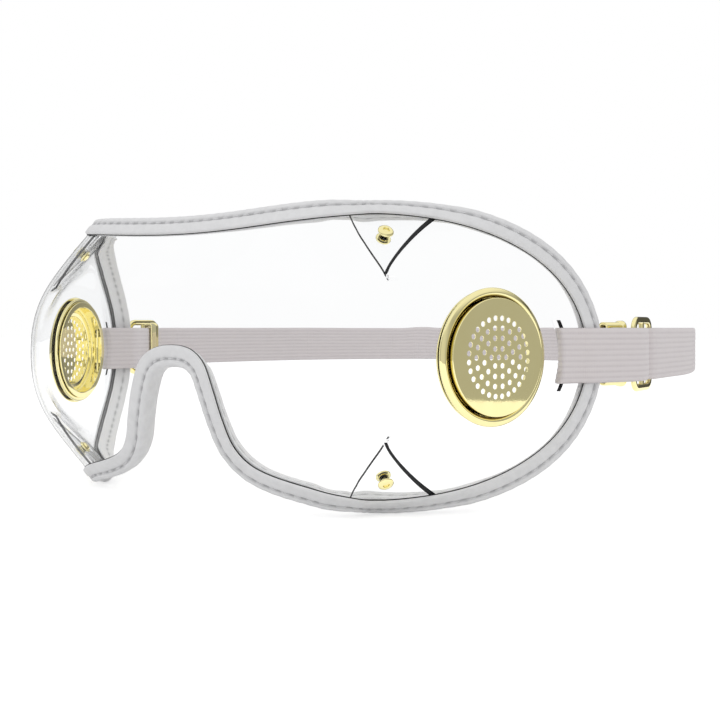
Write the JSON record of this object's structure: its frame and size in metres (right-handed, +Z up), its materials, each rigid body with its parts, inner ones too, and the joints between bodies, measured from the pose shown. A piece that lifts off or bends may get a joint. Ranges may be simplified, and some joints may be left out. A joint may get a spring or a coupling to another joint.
{
  "type": "racing goggles",
  "caption": "Wrap-round sheet lens with pinched darts, perforated brass side vents, a padded stitched edge and an elastic head band on brass sliders.",
  "frame": {"origin": "midway between the centres of the two side vents, in the middle of the lens sheet", "axes": "+X across the face, from the vent seen on the left in front view to the one on the right; +Y back towards the head band; +Z up the brow"},
  "size_m": [0.218, 0.2556, 0.087],
  "materials": {
    "clear_sheet": "clear glossy bent plastic sheet",
    "white_vinyl": "soft grained vinyl, satin",
    "pad_foam": "cloth-faced soft foam",
    "elastic_webbing": "ribbed woven elastic",
    "polished_brass": "polished"
  },
  "bodies": {
    "goggles": {"lens": "clear_sheet", "edge_binding": "white_vinyl", "face_pad": "pad_foam", "head_band": "elastic_webbing", "vent_flange_R": "polished_brass", "vent_cup_R": "polished_brass", "vent_ring_R": "polished_brass", "strap_loop_R": "elastic_webbing", "dart_rivet_top_R": "polished_brass", "dart_burr_top_R": "polished_brass", "dart_rivet_bottom_R": "polished_brass", "dart_burr_bottom_R": "polished_brass", "vent_flange_L": "polished_brass", "vent_cup_L": "polished_brass", "vent_ring_L": "polished_brass", "strap_loop_L": "elastic_webbing", "dart_rivet_top_L": "polished_brass", "dart_burr_top_L": "polished_brass", "dart_rivet_bottom_L": "polished_brass", "dart_burr_bottom_L": "polished_brass"},
    "slider_R": {"slider_R": "polished_brass"},
    "slider_L": {"slider_L": "polished_brass"},
    "keeper_R": {"keeper_R": "polished_brass"},
    "keeper_L": {"keeper_L": "polished_brass"}
  },
  "joints": [
    {"name": "slider_travel_R", "type": "slide", "parent": "goggles", "child": "slider_R", "axis": [0, 1, 0], "range_m": [-0.004, 0.022], "deforming": ["strap_loop_R"]},
    {"name": "slider_travel_L", "type": "slide", "parent": "goggles", "child": "slider_L", "axis": [0, 1, 0], "range_m": [-0.004, 0.022], "deforming": ["strap_loop_L"]},
    {"name": "keeper_travel_R", "type": "slide", "parent": "goggles", "child": "keeper_R", "axis": [0.4695, 0.8829, 0], "range_m": [-0.003, 0.002]},
    {"name": "keeper_travel_L", "type": "slide", "parent": "goggles", "child": "keeper_L", "axis": [-0.4695, 0.8829, 0], "range_m": [-0.003, 0.002]}
  ]
}
